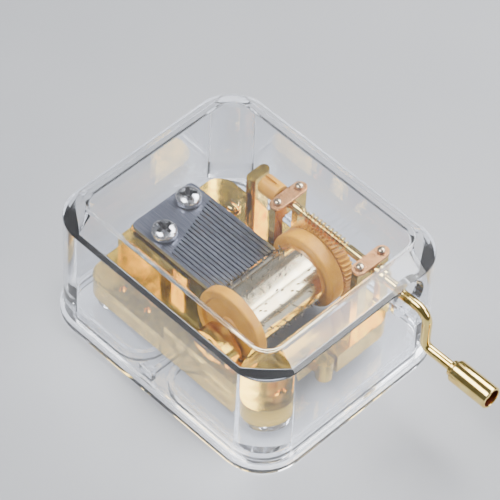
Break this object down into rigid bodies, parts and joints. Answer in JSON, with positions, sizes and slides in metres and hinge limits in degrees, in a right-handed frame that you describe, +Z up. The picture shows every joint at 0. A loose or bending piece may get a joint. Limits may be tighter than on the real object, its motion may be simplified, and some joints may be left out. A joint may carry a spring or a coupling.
{
  "type": "hand crank music box",
  "caption": "Hand crank music box: a clear rounded case over a gilt comb movement with a pinned cylinder, a worm gear and a brass crank with a turning knob",
  "frame": {"origin": "centre of the clear case's resting face, on its underside", "axes": "+X along the crank shaft towards the crank, +Y along the pinned cylinder away from its open end disc, +Z up out of the lid"},
  "size_m": [0.0853, 0.0534, 0.0328],
  "materials": {
    "clear_case": "clear, polished",
    "gilt_casting": "gilt plating on a die casting",
    "comb_steel": "ground blue-grey spring steel",
    "bright_steel": "bright nickel",
    "cylinder_brass": "polished, pale gold",
    "amber_plastic": "satin moulded",
    "polished_brass": "polished",
    "copper_clip": "satin copper"
  },
  "bodies": {
    "case": {"lid": "clear_case", "base_tray": "clear_case", "bedplate": "gilt_casting", "locating_pin": "bright_steel", "boss_screw": "polished_brass", "comb": "comb_steel", "comb_screw_1": "bright_steel", "comb_screw_2": "bright_steel", "shaft_clip_inner": "copper_clip", "shaft_clip_outer": "copper_clip", "clip_rivet_1": "bright_steel", "clip_rivet_2": "bright_steel", "clip_rivet_3": "bright_steel", "clip_rivet_4": "bright_steel", "mounting_screw_1": "bright_steel", "mounting_screw_2": "bright_steel", "mounting_screw_3": "bright_steel"},
    "cylinder": {"cylinder_drum": "cylinder_brass", "worm_wheel": "amber_plastic", "cylinder_end_disc": "amber_plastic", "cylinder_axle": "bright_steel"},
    "crank": {"worm_shaft": "polished_brass", "shaft_end_bush": "amber_plastic", "shaft_collar": "polished_brass", "crank_rod": "polished_brass"},
    "knob": {"crank_knob": "polished_brass"}
  },
  "joints": [
    {"name": "crank_spin", "type": "hinge", "parent": "case", "child": "crank", "pos_m": [0, 0.0131, 0.0245], "axis": [1, 0, 0], "continuous": true},
    {"name": "cylinder_spin", "type": "hinge", "parent": "case", "child": "cylinder", "pos_m": [0.0074, 0, 0.01526], "axis": [0, 1, 0], "continuous": true},
    {"name": "knob_spin", "type": "hinge", "parent": "crank", "child": "knob", "pos_m": [0.0432, 0.0131, 0.0148], "axis": [1, 0, 0], "continuous": true}
  ],
  "couplings": [
    {"joint": "cylinder_spin", "follows": "crank_spin", "ratio": -0.020408}
  ]
}
